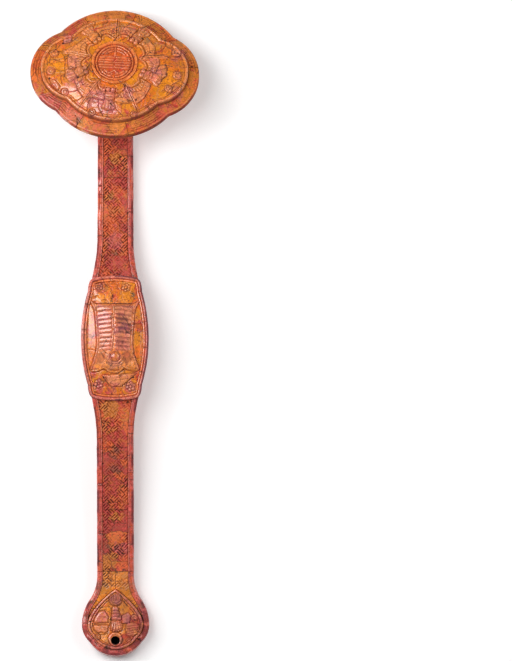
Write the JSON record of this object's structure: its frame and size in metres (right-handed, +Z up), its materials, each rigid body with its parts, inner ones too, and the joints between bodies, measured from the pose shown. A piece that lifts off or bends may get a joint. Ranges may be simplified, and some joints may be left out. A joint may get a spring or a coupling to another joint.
{
  "type": "ruyi scepter",
  "caption": "Curved ruyi scepter of jointed carved stone over a wooden core, with a domed lobed head, a waist plaque and a pierced tassel end.",
  "frame": {"origin": "on the surface it rests on, below the middle of its outline, halfway along and across", "axes": "+Y along the scepter towards its head, +Z up out of the carved face, +X to the right of the carved face"},
  "size_m": [0.1178, 0.4531, 0.0544],
  "materials": {
    "realgar_ochre": "polished mottled ochre stone with fine brown joints",
    "realgar_orange": "polished mottled orange stone with fine brown joints",
    "realgar_red": "polished pinkish red stone with fine brown joints",
    "core_wood": "plain carved timber, hidden",
    "dowel_wood": "plain turned dowels, hidden"
  },
  "bodies": {
    "root": {"shaft_core": "core_wood", "head_board": "core_wood", "head_dowel_left": "dowel_wood", "head_dowel_right": "dowel_wood", "head_back_left": "realgar_orange", "head_back_right": "realgar_orange", "head_rim_1": "realgar_orange", "head_rim_2": "realgar_orange", "head_rim_3": "realgar_orange", "head_rim_4": "realgar_orange", "head_rim_5": "realgar_orange", "head_rim_6": "realgar_orange", "head_rim_7": "realgar_orange", "head_rim_8": "realgar_orange", "head_rim_9": "realgar_orange", "dome_piece_1": "realgar_ochre", "dome_piece_2": "realgar_ochre", "dome_piece_3": "realgar_ochre", "dome_piece_4": "realgar_ochre", "dome_piece_5": "realgar_ochre", "head_medallion": "realgar_red", "upper_fret_slab_1": "realgar_orange", "upper_fret_slab_2": "realgar_orange", "upper_border_left_1": "realgar_red", "upper_border_left_2": "realgar_red", "upper_border_left_3": "realgar_red", "upper_border_right_1": "realgar_red", "upper_border_right_2": "realgar_red", "upper_border_right_3": "realgar_red", "upper_back_slab_1": "realgar_orange", "upper_back_slab_2": "realgar_orange", "plaque_panel": "realgar_ochre", "plaque_frame_top": "realgar_red", "plaque_frame_bottom": "realgar_red", "plaque_frame_left": "realgar_red", "plaque_frame_right": "realgar_red", "plaque_side_left": "realgar_red", "plaque_side_right": "realgar_red", "plaque_back_slab": "realgar_orange", "lower_fret_slab_1": "realgar_orange", "lower_fret_slab_2": "realgar_orange", "lower_fret_slab_3": "realgar_orange", "lower_border_left_1": "realgar_red", "lower_border_left_2": "realgar_red", "lower_border_left_3": "realgar_red", "lower_border_left_4": "realgar_red", "lower_border_right_1": "realgar_red", "lower_border_right_2": "realgar_red", "lower_border_right_3": "realgar_red", "lower_border_right_4": "realgar_red", "lower_back_slab_1": "realgar_orange", "lower_back_slab_2": "realgar_orange", "lower_back_slab_3": "realgar_orange", "terminal_rim_left": "realgar_red", "terminal_rim_right": "realgar_red", "terminal_rim_bottom": "realgar_red", "terminal_spandrel_left": "realgar_ochre", "terminal_spandrel_right": "realgar_ochre", "terminal_panel": "realgar_ochre", "terminal_back_slab": "realgar_orange"}
  },
  "joints": []
}
